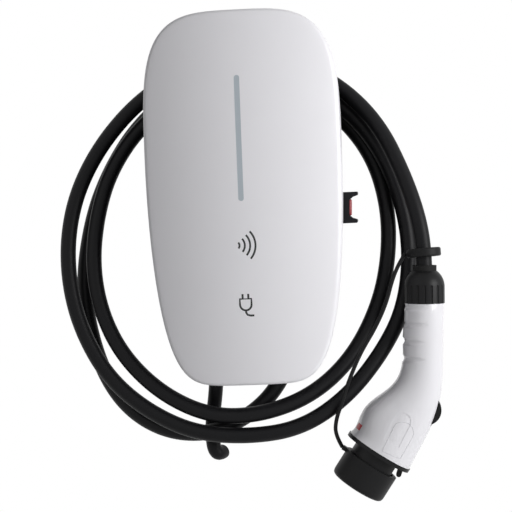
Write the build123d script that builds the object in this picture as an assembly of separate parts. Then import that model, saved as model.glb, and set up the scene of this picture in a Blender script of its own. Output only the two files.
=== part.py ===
from build123d import *
import math
import os

os.makedirs("parts", exist_ok=True)

# Wall-mounted charging station with a captive cable, in millimetres.
# +Z is up, the wall is the plane Y = 0 and the front faces -Y.
# The origin is the centre of the four wall holes, on the wall.
# A depth is counted from the wall, so a depth of 48 lies at Y = -48.

# Outline of the housing, seen from the front
housing_width = 225.6
housing_top = 214.4
housing_bottom = 214.4
widest_height = 74.0
upper_power = 3.3
lower_side_power = 5.0
lower_end_power = 2.2
outline_points_per_quarter = 12

# Depths, counted from the wall
hub_depth = 48.0
rim_depth = 84.0
apex_depth = 143.0

# Front cover
cover_wall = 3.0
edge_roll = 30.0
dome_radius_across = 560.0
dome_radius_along = 1700.0
dome_half_angle = 10.0
light_length = 141.8
light_width = 6.2
light_centre_height = 66.6
light_flange = 3.0
light_flange_thickness = 1.5
seat_gap = 0.05
fit_gap = 0.1

# Rear housing
rear_inset = 1.2
rear_wall = 3.0
rear_edge_radius = 5.0
chin_height = -142.0
chin_thickness = 4.0
chin_corner_radius = 12.0
spigot_height = 6.0
spigot_thickness = 2.5
gasket_height = 2.5

# Screws: thread radius, head radius, head height
cover_screw = (2.0, 3.9, 2.6)
board_screw = (1.5, 2.8, 1.8)
hub_screw = (2.5, 4.6, 3.0)
cover_screw_places = [(88.0, 162.0), (99.0, 20.0), (84.0, -116.0)]
cover_screw_web = (74.0, 78.0)
cover_screw_length = 18.0
column_radius = 6.5
boss_radius = 5.5
thread_gap = 0.05

# Wall bracket and cable hub
bracket_width = 150.0
bracket_height = 200.0
bracket_thickness = 2.5
bracket_corner = 8.0
bracket_window = (60.0, 90.0)
wall_hole_radius = 3.25
wall_hole_spacing_x = 120.0
wall_hole_spacing_z = 160.0
hook_spacing = 80.0
hook_width = 20.0
hook_height = 70.0
hook_reach = 14.0
hook_rise = 12.0
hang_bar_height = 8.0
hub_arch_radius = 141.0
hub_arch_centre_height = -16.0
hub_half_width = 96.0
hub_bottom = -104.0
hub_wall = 3.5
hub_rib_thickness = 2.5
hub_rib_depth = 22.0
hub_screw_places = [(68.0, 40.0), (68.0, -50.0)]
lock_screw_depth = 12.0
lock_screw_length = 16.0

# Cable glands
gland_spacing = 84.0
gland_depth = 64.0
gland_thread_radius = 12.4
gland_hex = 27.0
gland_hex_height = 6.0
gland_collar_height = 9.0
gland_nut_hex = 26.5
gland_nut_height = 19.0
gland_mouth_height = -172.0
cable_gap = 0.15

# Cables
charging_cable_diameter = 17.5
supply_cable_diameter = 16.3
strap_diameter = 4.6

# Power switch on the right-hand side
switch_height = -17.0
switch_depth = 66.0
guard_length = 36.0
guard_width = 24.0
guard_base = 117.0
guard_reach = 128.4
guard_ear = 5.0
guard_flare = 4.0
rocker_length = 21.0
rocker_width = 14.0
rocker_top = 121.0
rocker_pivot_x = 106.0
rocker_pin_radius = 1.5
rocker_swing = 5.0
rocker_gap = 0.4
running_gap = 0.05
switch_body_length = 29.0
switch_body_width = 20.0
switch_body_back = 84.0
terminal_length = 10.0

# Electronics
board_thickness = 1.6
main_board_depth = 60.0
main_board_size = (160.0, 186.0)
main_board_height = 50.0
post_radius = 4.0
rail_width = 35.0
rail_height = -80.0
rail_length = 176.0
rail_rise = 7.5
rail_thickness = 1.0
reader_board_height = -54.0
reader_board_size = (60.0, 50.0)
reader_board_depth = 124.0
light_board_depth = 126.0
light_board_size = (26.0, 146.0)
lamp_count = 12
sensor_radius = 21.0
sensor_bore = 12.0
sensor_thickness = 15.0
sensor_depth = 76.0

# Vehicle connector: stations along its bent axis as
# (x, z, lean of the axis from vertical, half width, half depth)
connector_depth = 84.0
connector_stations = [
    (200.8, -130.0, 2.0, 23.5, 21.5),
    (198.8, -168.0, 4.0, 23.3, 21.3),
    (195.8, -207.0, 8.0, 24.0, 22.0),
    (186.5, -232.5, 16.0, 29.3, 25.0),
    (171.0, -253.6, 23.0, 36.8, 29.0),
    (156.0, -276.0, 29.0, 39.1, 32.0),
    (143.0, -297.5, 34.3, 40.0, 33.5),
]
connector_wall = 3.2
finger_grooves = 4
finger_groove_first = -134.5
finger_groove_pitch = 19.8
finger_groove_radius = 6.0
finger_groove_depth = 2.6
finger_groove_fade = 5.0
spigot_radius = 17.0
connector_spigot = 14.0
nut_radius = 24.0
nut_height = 37.0
nut_top_radius = 15.0
nut_skirt = 21.0
nut_wall = 4.0
nut_flutes = 18
nut_flute_radius = 1.6
collar_radius = 13.8
collar_height = 6.6
collar_tail = 10.0
flange_thickness = 4.6
flange_proud = 0.8
nose_radius = 28.0
nose_wall = 3.5
nose_length = 36.0
nose_flat = 25.0
core_radius = 20.5
core_setback = 3.0
power_contact = (4.2, 3.0)
signal_contact = (2.6, 1.6)
contact_length = 26.0
contact_circle = 12.0
contact_angles = (90.0, 145.0, 215.0, 270.0)
signal_offset = (11.0, 7.0)
cap_radius = 33.0
cap_start = 17.6
cap_skirt = 27.0
cap_wall = 3.6
cap_floor = 4.0
cap_edge_radius = 5.0
cap_gap = 0.4
ring_radius = 19.5
ring_height = 10.0
ring_distance = 32.0
label_recess = (20.0, 38.0, 0.5)
red_mark_size = (5.0, 7.0)
red_mark_thickness = 1.0

# Release lever inside the connector
button_centre = (198.0, -252.5)
button_radius = 17.3
button_width = 16.0
lever_width = 8.0
lever_thickness = 6.0
lever_pin_radius = 1.5
lever_pin_length = 38.4
lever_points = [(200.8, -263.5), (183.0, -287.0), (167.6, -314.4), (163.5, -326.0)]

# Route of the charging cable: out of its gland, three turns behind the
# housing over the cable hub, and down to the connector
charging_route = [
    (42, -64, -158), (42, -64, -185), (33, -65, -211), (12, -69, -238),
    (-18, -75, -258), (-57, -76, -272), (-104, -70, -268), (-143, -62, -245),
    (-172, -54, -207), (-190, -46, -155), (-200, -38, -93), (-188, -28, -20),
    (-166, -19, 36), (-130, -12, 90), (-73, -10.5, 134), (-5, -10.5, 149),
    (61, -10.5, 129), (112, -11, 88), (146, -14.5, 40), (162, -24, -18),
    (162, -34, -76), (149, -47, -133), (118, -64, -191), (71, -82, -231),
    (12, -94, -249), (-47, -95, -250), (-103, -90, -224), (-148, -80, -181),
    (-174, -71, -130), (-184, -61, -72), (-177, -50, -12), (-160, -39, 39),
    (-125, -30, 88), (-69, -28.5, 127), (-2, -28.5, 146), (64, -28.5, 133),
    (120, -27, 96), (157, -28.5, 45), (178, -34, -15), (186, -42, -73),
    (177, -55, -136), (150, -70, -185), (107, -85, -234), (54, -94, -266),
    (-6, -95, -274), (-67, -94, -266), (-122, -88, -239), (-166, -80, -199),
    (-195, -72, -146), (-209, -64, -92), (-211, -56, -36), (-198, -49, 18),
    (-168, -43, 71), (-123, -38, 118), (-66, -37, 151), (-1, -37, 165),
    (62, -37, 152), (117, -38, 121), (158, -48, 76), (184, -66, 17),
    (199, -80.5, -34), (202.7, -84, -76),
    (201.7, -84, -104),
]

# Route of the supply cable: straight down and out below the turns
supply_route = [
    (-42, -64, -158), (-42, -64, -186), (-45, -62, -210), (-48, -57, -234),
    (-52, -52, -257), (-52, -54, -277), (-46, -61, -289), (-38, -74, -293),
]

# Route of the strap between the cap and its ring
strap_route = [
    (180.8, -83.5, -72.5), (173, -86, -80), (163, -89, -99), (155, -92, -126),
    (141, -94, -155), (122, -97, -184), (108, -100, -216), (100, -101, -240),
    (93, -98, -259), (92, -92, -277), (99.2, -85, -291.4),
]


def block(x, y, z):
    """Box between a low and a high value on each axis."""
    size = [high - low for low, high in (x, y, z)]
    middle = [(high + low) / 2 for low, high in (x, y, z)]
    return Pos(*middle) * Box(*size)


def rod(start, end, radius):
    """Round rod from one point to another."""
    along = Vector(end) - Vector(start)
    base = Plane(origin=start, z_dir=along)
    return base * Cylinder(radius, along.length, align=(Align.CENTER, Align.CENTER, Align.MIN))


def tube(start, end, outer, inner):
    """Round tube from one point to another."""
    return rod(start, end, outer) - rod(start, end, inner)


def turned(start, direction, points):
    """Solid turned about an axis from (radius, distance along it) points."""
    profile = Plane.XZ * make_face(Polyline(*points, points[0]))
    return Plane(origin=start, z_dir=direction) * revolve(profile, axis=Axis.Z)


def screw(seat, direction, length, kind):
    """Pan-head screw whose head sits on the seat, with its shank along direction."""
    thread_radius, head_radius, head_height = kind
    thread = thread_radius - thread_gap
    recess = head_radius * 0.35
    return turned(seat, direction, [
        (0, -head_height * 0.4), (recess, -head_height * 0.4), (recess, -head_height),
        (head_radius * 0.75, -head_height), (head_radius, -head_height * 0.6), (head_radius, 0),
        (thread, 0), (thread, length), (0, length),
    ])


def signed_power(value, power):
    """Power of a number that keeps its sign."""
    return math.copysign(abs(value) ** power, value)


def shield_outline(inset):
    """Rounded shield shape of the housing, drawn in from its edge by inset."""
    half = housing_width / 2 - inset
    up = housing_top - widest_height - inset
    down = housing_bottom + widest_height - inset
    points = []
    count = 4 * outline_points_per_quarter
    for step in range(count):
        turn = 2 * math.pi * step / count
        across, along = math.cos(turn), math.sin(turn)
        if along >= 0:
            x = half * signed_power(across, 2 / upper_power)
            z = widest_height + up * signed_power(along, 2 / upper_power)
        else:
            x = half * signed_power(across, 2 / lower_side_power)
            z = widest_height + down * signed_power(along, 2 / lower_end_power)
        points.append((x, z))
    return make_face(Plane.XZ * Spline(points, periodic=True))


def shield_slab(inset, near, far):
    """Slab with the shield outline between two depths."""
    return Pos(0, -near, 0) * extrude(shield_outline(inset), amount=far - near, dir=(0, -1, 0))


def shield_ring(outer_inset, inner_inset, near, far):
    """Ring that follows the shield outline between two depths."""
    return shield_slab(outer_inset, near, far) - shield_slab(inner_inset, near - 1, far + 1)


def dome(inset):
    """Thick slab whose front is the cover's double curve, drawn in by inset."""
    across = dome_radius_across - inset
    along = dome_radius_along - inset
    apex = apex_depth - inset
    half = housing_width
    edge = apex - across + math.sqrt(across**2 - half**2)
    back = rim_depth - 30
    crown = ThreePointArc((-half, -edge), (0, -apex), (half, -edge))
    sides = Polyline((half, -edge), (half, -back), (-half, -back), (-half, -edge))
    axis = Axis((0, along - apex, 0), (1, 0, 0))
    section = make_face([crown, sides]).rotate(axis, -dome_half_angle)
    return revolve(section, axis=axis, revolution_arc=2 * dome_half_angle)


def cover_form(inset):
    """Pillow-shaped solid of the cover, drawn in by inset: a dome with a rolled edge."""
    form = shield_slab(inset, rim_depth, apex_depth + 10) & dome(inset)
    front = form.faces().sort_by(Axis.Y)[0]
    return fillet(front.edges(), edge_roll - inset)


def stadium(length, width, height, near, far):
    """Upright bar with round ends between two depths."""
    profile = Plane.XZ * Pos(0, height) * SlotOverall(length, width, rotation=90)
    return Pos(0, -near, 0) * extrude(profile, amount=far - near, dir=(0, -1, 0))


def on_both_sides(places):
    """Each place and its mirror image across the middle."""
    return [(side * x, z) for x, z in places for side in (1, -1)]


def corners(width, height, centre_height=0.0):
    """Four corners of an upright rectangle centred on X = 0."""
    return [(sx * width / 2, centre_height + sz * height / 2) for sx in (1, -1) for sz in (1, -1)]


reader_posts = corners(reader_board_size[0] - 10, reader_board_size[1] - 10, reader_board_height)
light_posts = corners(light_board_size[0] - 7, 98, light_centre_height)
main_posts = corners(main_board_size[0] - 12, main_board_size[1] - 12, main_board_height)


def make_front_cover():
    """Domed cover with the slot for the light, screw bosses and posts for its boards."""
    ledge_near = rim_depth + spigot_height + gasket_height
    kept = shield_ring(cover_wall - 0.5, cover_wall + 3.5, ledge_near, ledge_near + 2)
    for x, z in on_both_sides(cover_screw_places):
        hole_end = -cover_screw_web[1] - cover_screw_length
        kept += tube_to((x, z), rim_depth, apex_depth, boss_radius, cover_screw[0], -hole_end)
    for places, depth in ((reader_posts, reader_board_depth), (light_posts, light_board_depth)):
        start = depth + board_thickness
        for place in places:
            kept += tube_to(place, start, apex_depth, board_screw[1], board_screw[0], start + 5)
    cavity = cover_form(cover_wall) - kept
    cover = cover_form(0) - cavity
    return cover - stadium(light_length, light_width, light_centre_height, rim_depth, apex_depth + 5)


def tube_to(place, start, end, outer, inner, hole_end):
    """Post between two depths with a blind hole from its near end."""
    x, z = place
    return rod((x, -start, z), (x, -end, z), outer) - rod((x, -start + 1, z), (x, -hole_end, z), inner)


def make_light_bar():
    """Clear lens that fills the slot flush and is held by a flange behind the cover."""
    near, far = rim_depth, apex_depth + 5
    width, length = light_width - 2 * fit_gap, light_length - 2 * fit_gap
    stem = stadium(length, width, light_centre_height, near, far) & dome(seat_gap)
    flange = stadium(
        light_length + 2 * light_flange, light_width + 2 * light_flange, light_centre_height, near, far
    )
    lens = stem + (flange & dome(cover_wall + seat_gap))
    return lens - dome(cover_wall + light_flange_thickness)


def make_light_board():
    """Strip board behind the lens with a row of small lamps."""
    width, length = light_board_size
    low, high = light_centre_height - length / 2, light_centre_height + length / 2
    near, far = light_board_depth, light_board_depth + board_thickness
    board = block((-width / 2, width / 2), (-far, -near), (low, high))
    for x, z in light_posts:
        board -= rod((x, -near + 1, z), (x, -far - 1, z), board_screw[0] + fit_gap)
    pitch = (length - 12) / (lamp_count - 1)
    for index in range(lamp_count):
        z = low + 6 + index * pitch
        board += block((-1.75, 1.75), (-far - 1.2, -far), (z - 1.75, z + 1.75))
    return board


def make_reader_board():
    """Square board of the card reader with its aerial loop and chip."""
    width, height = reader_board_size
    near, far = reader_board_depth, reader_board_depth + board_thickness
    z = reader_board_height
    board = block((-width / 2, width / 2), (-far, -near), (z - height / 2, z + height / 2))
    for x, place_z in reader_posts:
        board -= rod((x, -near + 1, place_z), (x, -far - 1, place_z), board_screw[0] + fit_gap)
    board += tube((0, -far, z), (0, -far - 0.8, z), 18, 14)
    board += block((-7, 7), (-near, -near + 2), (z - 7, z + 7))
    return board


def make_cover_board_screws():
    """Screws that hold the light board and the reader board to the cover."""
    parts = Part()
    for x, z in reader_posts:
        parts += screw((x, -reader_board_depth, z), (0, -1, 0), 6, board_screw)
    for x, z in light_posts:
        parts += screw((x, -light_board_depth, z), (0, -1, 0), 6, board_screw)
    return parts


def tray_outline(inset):
    """Shield shape cut off straight above the chin, with rounded lower corners."""
    drawn_in = inset - rear_inset
    low, high = chin_height + drawn_in, housing_top + 50
    kept = Plane.XZ * Pos(0, (low + high) / 2) * Rectangle(2 * housing_width, high - low)
    outline = shield_outline(inset) & kept
    corner_points = outline.vertices().group_by(Axis.Z)[0]
    return fillet(corner_points, chin_corner_radius - drawn_in)


def tray_slab(inset, near, far):
    """Slab with the outline of the deep upper part between two depths."""
    return Pos(0, -near, 0) * extrude(tray_outline(inset), amount=far - near, dir=(0, -1, 0))


def make_rear_housing():
    """Tray behind the cover: deep upper part, shallow chin, screw wells and cable holes."""
    outer = tray_slab(rear_inset, hub_depth, rim_depth)
    outer = fillet(outer.faces().sort_by(Axis.Y)[-1].edges(), rear_edge_radius)
    floor_depth = hub_depth + rear_wall
    inner = tray_slab(rear_inset + rear_wall, floor_depth, rim_depth + 1)
    chin = shield_slab(rear_inset, rim_depth - chin_thickness, rim_depth)
    spigot_inset = cover_wall + 3 * fit_gap
    spigot = shield_ring(
        spigot_inset, spigot_inset + spigot_thickness,
        rim_depth - chin_thickness / 2, rim_depth + spigot_height,
    )
    tray = outer + chin - inner + spigot
    for x, z in on_both_sides(cover_screw_places):
        tray += rod((x, -hub_depth - 1, z), (x, -rim_depth, z), column_radius)
        tray -= rod((x, -hub_depth + 1, z), (x, -cover_screw_web[0], z), cover_screw[1] + 0.6)
        tray -= rod((x, -hub_depth, z), (x, -rim_depth - 1, z), cover_screw[0] + 0.2)
    for x, z in main_posts:
        tray += rod((x, -hub_depth - 1, z), (x, -main_board_depth, z), post_radius)
        tray -= rod((x, -floor_depth, z), (x, -main_board_depth - 1, z), board_screw[0])
    for x, z in on_both_sides(hub_screw_places):
        tray += rod((x, -hub_depth - 1, z), (x, -floor_depth - 5, z), column_radius - 1)
        tray -= rod((x, -hub_depth + 1, z), (x, -floor_depth - 3, z), hub_screw[0])
    for side in (1, -1):
        x = side * gland_spacing / 2
        hole = gland_thread_radius + fit_gap
        tray -= rod((x, -gland_depth, chin_height - 1), (x, -gland_depth, chin_height + 8), hole)
    return tray - switch_opening(fit_gap)


def switch_opening(gap):
    """Upright hole in the right-hand wall for the body of the switch."""
    half_length = switch_body_length / 2 + gap
    half_width = switch_body_width / 2 + gap
    return block(
        (switch_body_back + 6, housing_width / 2 + 5),
        (-switch_depth - half_width, -switch_depth + half_width),
        (switch_height - half_length, switch_height + half_length),
    )


def make_cover_gasket():
    """Soft ring on top of the rear housing's spigot, under the cover's ledge."""
    inset = cover_wall + 3 * fit_gap
    near = rim_depth + spigot_height
    return shield_ring(inset, inset + spigot_thickness, near, near + gasket_height)


def make_cover_screws():
    """Long screws in the wells of the rear housing, into the cover's bosses."""
    parts = Part()
    for x, z in on_both_sides(cover_screw_places):
        seat = (x, -cover_screw_web[0], z)
        parts += screw(seat, (0, -1, 0), cover_screw_length, cover_screw)
    return parts


def make_wall_bracket():
    """Steel plate with four wall holes, two upturned hooks and a lower lug."""
    plate = Plane.XZ * RectangleRounded(bracket_width, bracket_height, bracket_corner)
    bracket = extrude(plate, amount=bracket_thickness, dir=(0, -1, 0))
    window = Plane.XZ * RectangleRounded(*bracket_window, bracket_corner)
    bracket -= extrude(window, amount=bracket_thickness, dir=(0, -1, 0))
    for x, z in corners(wall_hole_spacing_x, wall_hole_spacing_z):
        bracket -= rod((x, 1, z), (x, -bracket_thickness - 1, z), wall_hole_radius)
    reach = -bracket_thickness - hook_reach
    for side in (1, -1):
        x = (side * hook_spacing / 2 - hook_width / 2, side * hook_spacing / 2 + hook_width / 2)
        shelf = block(x, (reach, 0), (hook_height - bracket_thickness, hook_height))
        rise = block(x, (reach, reach + bracket_thickness), (hook_height, hook_height + hook_rise))
        bracket += shelf + rise
    low = -bracket_height / 2
    lug_reach = -lock_screw_depth - 8
    bracket += block((-15, 15), (lug_reach, 0), (low, low + bracket_thickness))
    return bracket - rod((0, -lock_screw_depth, low - 1), (0, -lock_screw_depth, low + 4), 2.0)


def hub_outline(inset):
    """Arch with straight sides and a flat foot."""
    arch = Pos(0, hub_arch_centre_height) * Circle(hub_arch_radius - inset)
    top = hub_arch_centre_height + hub_arch_radius
    low = hub_bottom + inset
    sides = Pos(0, (top + low) / 2) * Rectangle(2 * (hub_half_width - inset), top - low)
    return Plane.XZ * (arch & sides)


def make_cable_hub():
    """Arch-topped drum between the wall and the housing, over which the cable is wound."""
    outer = extrude(hub_outline(0), amount=hub_depth, dir=(0, -1, 0))
    outer = fillet(outer.edges().filter_by(Axis.Y), 4.0)
    inner = extrude(hub_outline(hub_wall), amount=hub_depth - hub_wall, dir=(0, -1, 0))
    hub = outer - inner
    web = hub_depth - hub_wall
    for x in (-48.0, 0.0, 48.0):
        rib = block(
            (x - hub_rib_thickness / 2, x + hub_rib_thickness / 2),
            (-web, -hub_rib_depth), (hub_bottom, housing_top),
        )
        hub += rib & outer
    near = bracket_thickness + 0.5
    far = bracket_thickness + hook_reach - bracket_thickness - 0.4
    bar_x = hub_half_width - 1
    hub += block((-bar_x, bar_x), (-far, -near), (hook_height, hook_height + hang_bar_height)) & outer
    for x, z in on_both_sides(hub_screw_places):
        hub -= rod((x, -web + 1, z), (x, -hub_depth - 1, z), hub_screw[0] + 0.2)
    foot = (0, -lock_screw_depth, hub_bottom - 1)
    return hub - rod(foot, (0, -lock_screw_depth, hub_bottom + hub_wall + 1), 2.2)


def make_hub_screws():
    """Screws through the hub's web into the back of the rear housing."""
    parts = Part()
    for x, z in on_both_sides(hub_screw_places):
        parts += screw((x, -hub_depth + hub_wall, z), (0, -1, 0), 9, hub_screw)
    return parts


def make_lock_screw():
    """Screw from below that locks the hub to the lug of the bracket."""
    seat = (0, -lock_screw_depth, hub_bottom)
    return screw(seat, (0, 0, 1), lock_screw_length, cover_screw)


def hexagon_rod(x, low, high, across_flats):
    """Upright hexagonal rod on a gland's axis."""
    profile = Pos(x, -gland_depth, low) * RegularPolygon(across_flats / 2, 6, major_radius=False)
    return extrude(profile, amount=high - low, dir=(0, 0, 1))


def make_gland_body(x, cable_diameter):
    """Threaded gland body: spigot through the wall, hexagonal flange and lower collar."""
    y = -gland_depth
    flange_low = chin_height - gland_hex_height
    collar_low = flange_low - gland_collar_height
    body = hexagon_rod(x, flange_low, chin_height, gland_hex)
    body += rod((x, y, flange_low), (x, y, chin_height + 8), gland_thread_radius)
    body += rod((x, y, collar_low), (x, y, flange_low), gland_thread_radius - 1.4)
    bore = cable_diameter / 2 + cable_gap
    return body - rod((x, y, collar_low - 1), (x, y, chin_height + 9), bore)


def make_gland_nut(x, cable_diameter):
    """Domed clamping nut below the gland body."""
    y = -gland_depth
    top = chin_height - gland_hex_height - 2
    low = top - gland_nut_height
    nut = hexagon_rod(x, low, top, gland_nut_hex)
    profile = Plane.XZ * make_face(Polyline(
        (0, low), (10.8, low), (gland_nut_hex / 2 + 2.2, low + 8), (gland_nut_hex / 2 + 2.2, top),
        (0, top), (0, low),
    ))
    cone = Pos(x, y, 0) * revolve(profile, axis=Axis.Z)
    nut &= cone
    nut -= rod((x, y, low + 8), (x, y, top + 1), gland_thread_radius - 1.2)
    return nut - rod((x, y, low - 1), (x, y, low + 9), cable_diameter / 2 + cable_gap)


def make_gland_seal(x, cable_diameter):
    """Rubber ring squeezed round the cable inside the nut."""
    y = -gland_depth
    top = chin_height - gland_hex_height - gland_collar_height - 0.3
    low = chin_height - gland_hex_height - 2 - gland_nut_height + 8.2
    bore = cable_diameter / 2 + cable_gap / 2
    return tube((x, y, low), (x, y, top), gland_thread_radius - 1.4, bore)


def corner_radii(points):
    """Radius at each inner point of a route: 0.45 of its shorter run over tan(half turn)."""
    radii = []
    for before, here, after in zip(points, points[1:], points[2:]):
        first, second = Vector(here) - Vector(before), Vector(after) - Vector(here)
        half_turn = math.radians(first.get_angle(second)) / 2
        radii.append(0.45 * min(first.length, second.length) / math.tan(half_turn))
    return radii


def cable_path(points):
    """Straight runs of a route joined by tangent arcs."""
    return FilletPolyline(*points, radius=corner_radii(points))


def cable(name, points, diameter):
    """Round cable along a route, with its length, volume and radii printed."""
    path = cable_path(points)
    start = Plane(origin=path @ 0, z_dir=path % 0)
    solid = sweep(start * Circle(diameter / 2), path=path)
    share = solid.volume / (math.pi * diameter**2 / 4 * path.length)
    print(name, "length", round(path.length, 1), "volume share", round(share, 4))
    print(name, "radii", [round(radius) for radius in corner_radii(points)])
    return solid


def section_plane(x, z, lean):
    """Plane across the connector's axis, which leans from vertical towards -X."""
    angle = math.radians(lean)
    return Plane(
        origin=(x, -connector_depth, z),
        x_dir=(math.cos(angle), 0, -math.sin(angle)),
        z_dir=(-math.sin(angle), 0, -math.cos(angle)),
    )


def connector_form(inset, stations=connector_stations):
    """Bent body lofted through its stations, drawn in by inset."""
    sections = [
        section_plane(x, z, lean) * Ellipse(half_width - inset, half_depth - inset)
        for x, z, lean, half_width, half_depth in stations
    ]
    return loft(sections)


handle_top = section_plane(*connector_stations[0][:3])
nose_base = section_plane(*connector_stations[-1][:3])
body_outer = connector_form(0)


def nose_rod(start, end, radius, x=0.0, y=0.0):
    """Rod along the nose axis, counted from the end of the white body."""
    profile = Pos(x, y, start) * Circle(radius)
    return nose_base * extrude(profile, amount=end - start, dir=(0, 0, 1))


def button_rod(radius, width):
    """Short rod across the connector at the centre of the thumb button."""
    x, z = button_centre
    return rod(
        (x, -connector_depth - width / 2, z), (x, -connector_depth + width / 2, z), radius
    )


def make_connector_housing():
    """White hollow body with finger grooves, label recess and the window for the button."""
    body = body_outer - connector_form(connector_wall, connector_stations[1:])
    spigot = handle_top * extrude(Circle(spigot_radius), amount=-connector_spigot)
    body += spigot
    reach = handle_top * extrude(Circle(charging_cable_diameter / 2 + 2), amount=60)
    body -= reach
    body -= handle_top * extrude(
        Circle(charging_cable_diameter / 2 + cable_gap), amount=-connector_spigot - 1
    )
    for index in range(finger_grooves):
        z = finger_groove_first - index * finger_groove_pitch
        body -= finger_groove(z)
    body -= label_prism(label_recess[0], label_recess[1]) & (body_outer - connector_form(label_recess[2]))
    body -= red_mark_prism(fit_gap) & (body_outer - connector_form(red_mark_thickness + fit_gap))
    wall = body_outer - connector_form(connector_wall + 1)
    body -= button_rod(button_radius + 1.2, button_width + 1.6) & wall
    return body - make_lever_pin()


def finger_groove(z):
    """Ring that cuts deepest on the finger side of the handle and fades out round it."""
    first, last = connector_stations[0], connector_stations[2]
    share = (z - first[1]) / (last[1] - first[1])
    x = first[0] + share * (last[0] - first[0])
    radius = first[3] + finger_groove_radius - finger_groove_depth + finger_groove_fade
    ring = Torus(radius, finger_groove_radius)
    return Pos(x + finger_groove_fade, -connector_depth, z) * Rot(0, connector_stations[1][2], 0) * ring


def label_prism(width, length):
    """Prism with an arched end on the front of the connector body."""
    straight = length - width / 2
    outline = Pos(0, -straight / 2) * Rectangle(width, straight) + Pos(0, 0) * Circle(width / 2)
    upright = Plane.XZ * outline
    prism = extrude(upright, amount=60, dir=(0, -1, 0))
    return Pos(170.0, -connector_depth, -262.0) * Rot(0, connector_stations[-2][2], 0) * prism


def red_mark_prism(gap):
    """Small upright prism on the front of the connector body, near the flange."""
    width, height = red_mark_size[0] / 2 + gap, red_mark_size[1] / 2 + gap
    prism = block((-width, width), (-60, 0), (-height, height))
    return Pos(120.5, -connector_depth, -268.0) * Rot(0, connector_stations[-1][2], 0) * prism


def make_red_mark():
    """Small coloured inlay flush with the connector body."""
    return red_mark_prism(0) & (body_outer - connector_form(red_mark_thickness))


def make_connector_nut():
    """Domed, fluted nut that clamps the cable at the top of the handle."""
    bore = charging_cable_diameter / 2 + cable_gap
    crown = ThreePointArc(
        (nut_radius, nut_skirt),
        (nut_radius - 2.6, nut_height - 7.5),
        (nut_top_radius, nut_height),
    )
    sides = Polyline(
        (nut_top_radius, nut_height), (bore, nut_height), (bore, connector_spigot + 1),
        (spigot_radius + fit_gap, connector_spigot + 1), (spigot_radius + fit_gap, 0.3),
        (nut_radius, 0.3), (nut_radius, nut_skirt),
    )
    nut = revolve(Plane.XZ * make_face([crown, sides]), axis=Axis.Z)
    flute = rod((nut_radius + 0.3, 0, -1), (nut_radius + 0.3, 0, nut_skirt - 1), nut_flute_radius)
    flute += Pos(nut_radius + 0.3, 0, nut_skirt - 1) * Sphere(nut_flute_radius)
    for index in range(nut_flutes):
        nut -= Rot(0, 0, (index + 0.5) * 360 / nut_flutes) * flute
    nut -= tube((0, 0, nut_height - collar_tail), (0, 0, nut_height + 1), collar_radius - 2 + fit_gap, 0.1)
    return handle_top * Rot(180, 0, 0) * nut


def make_connector_collar():
    """Rubber collar between the cable and its nut."""
    bore = charging_cable_diameter / 2 + cable_gap
    collar = tube((0, 0, nut_height + 0.1), (0, 0, nut_height + collar_height), collar_radius, bore)
    collar += tube((0, 0, nut_height - collar_tail + 0.1), (0, 0, nut_height + 0.1), collar_radius - 2, bore)
    return handle_top * Rot(180, 0, 0) * collar


def flattened(radius, flat):
    """Disc with its side towards the release lever cut flat."""
    return Circle(radius) & Pos(flat - radius, 0) * Rectangle(2 * radius, 2 * radius)


def contact_places():
    """Places of the five large and the two small contacts on the face of the nose."""
    angles = [math.radians(degrees) for degrees in contact_angles]
    large = [(0.0, 0.0)] + [(contact_circle * math.cos(a), contact_circle * math.sin(a)) for a in angles]
    small = [(signal_offset[0], side * signal_offset[1]) for side in (1, -1)]
    return large, small


def make_connector_nose():
    """Black flange, sleeve with one flat side, and the core that holds the contacts."""
    x, z, lean, half_width, half_depth = connector_stations[-1]
    flange = Ellipse(half_width + flange_proud, half_depth + flange_proud)
    sleeve = flattened(nose_radius, nose_flat)
    sleeve -= flattened(nose_radius - nose_wall, nose_flat - nose_wall)
    nose = nose_base * extrude(flange, amount=flange_thickness)
    nose += nose_base * extrude(sleeve, amount=nose_length)
    nose += nose_rod(0, nose_length - core_setback, core_radius)
    large, small = contact_places()
    for places, (outer, inner) in ((large, power_contact), (small, signal_contact)):
        for px, py in places:
            nose -= nose_rod(nose_length - core_setback - contact_length, nose_length + 1, outer, px, py)
    return nose - lever_slot()


def make_connector_contacts():
    """Seven round contact sleeves in the core of the nose."""
    large, small = contact_places()
    start = nose_length - core_setback - contact_length
    end = nose_length - core_setback - 2
    parts = Part()
    for places, (outer, inner) in ((large, power_contact), (small, signal_contact)):
        for px, py in places:
            parts += nose_rod(start, end, outer, px, py) - nose_rod(start + 4, end + 1, inner, px, py)
    return parts


def make_protective_cap():
    """Rubber cup over the nose, with a lug for its strap."""
    end = cap_start + cap_skirt
    cup = nose_rod(cap_start, end, cap_radius)
    rims = cup.edges().filter_by(GeomType.CIRCLE)
    tip = nose_base.from_local_coords((0, 0, end + 20))
    cup = fillet(rims.sort_by_distance(tip)[0], cap_edge_radius)
    cup -= nose_rod(cap_start - 1, end - cap_floor, cap_radius - cap_wall)
    inner = nose_rod(cap_start, end - cap_floor, cap_radius - cap_wall)
    inner -= nose_rod(cap_start - 1, nose_length + cap_gap, nose_radius + cap_gap)
    cup += inner
    lug = nose_base * Pos(-cap_radius - 1.5, 0, cap_start + 2.5) * Box(7, 8, 5)
    lug -= nose_rod(cap_start - 1, end, cap_radius - 1)
    return cup + lug


def make_strap_ring():
    """Snug rubber ring round the cable above the nut."""
    path = cable_path(charging_route)
    share = 1 - ring_distance / path.length
    base = Plane(origin=path @ share, z_dir=path % share)
    bore = charging_cable_diameter / 2 + 2 * cable_gap
    ring = tube((0, 0, -ring_height / 2), (0, 0, ring_height / 2), ring_radius, bore)
    rims = ring.edges().filter_by(GeomType.CIRCLE).sort_by(SortBy.RADIUS)[-2:]
    return base * fillet(rims, 2.0)


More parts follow.
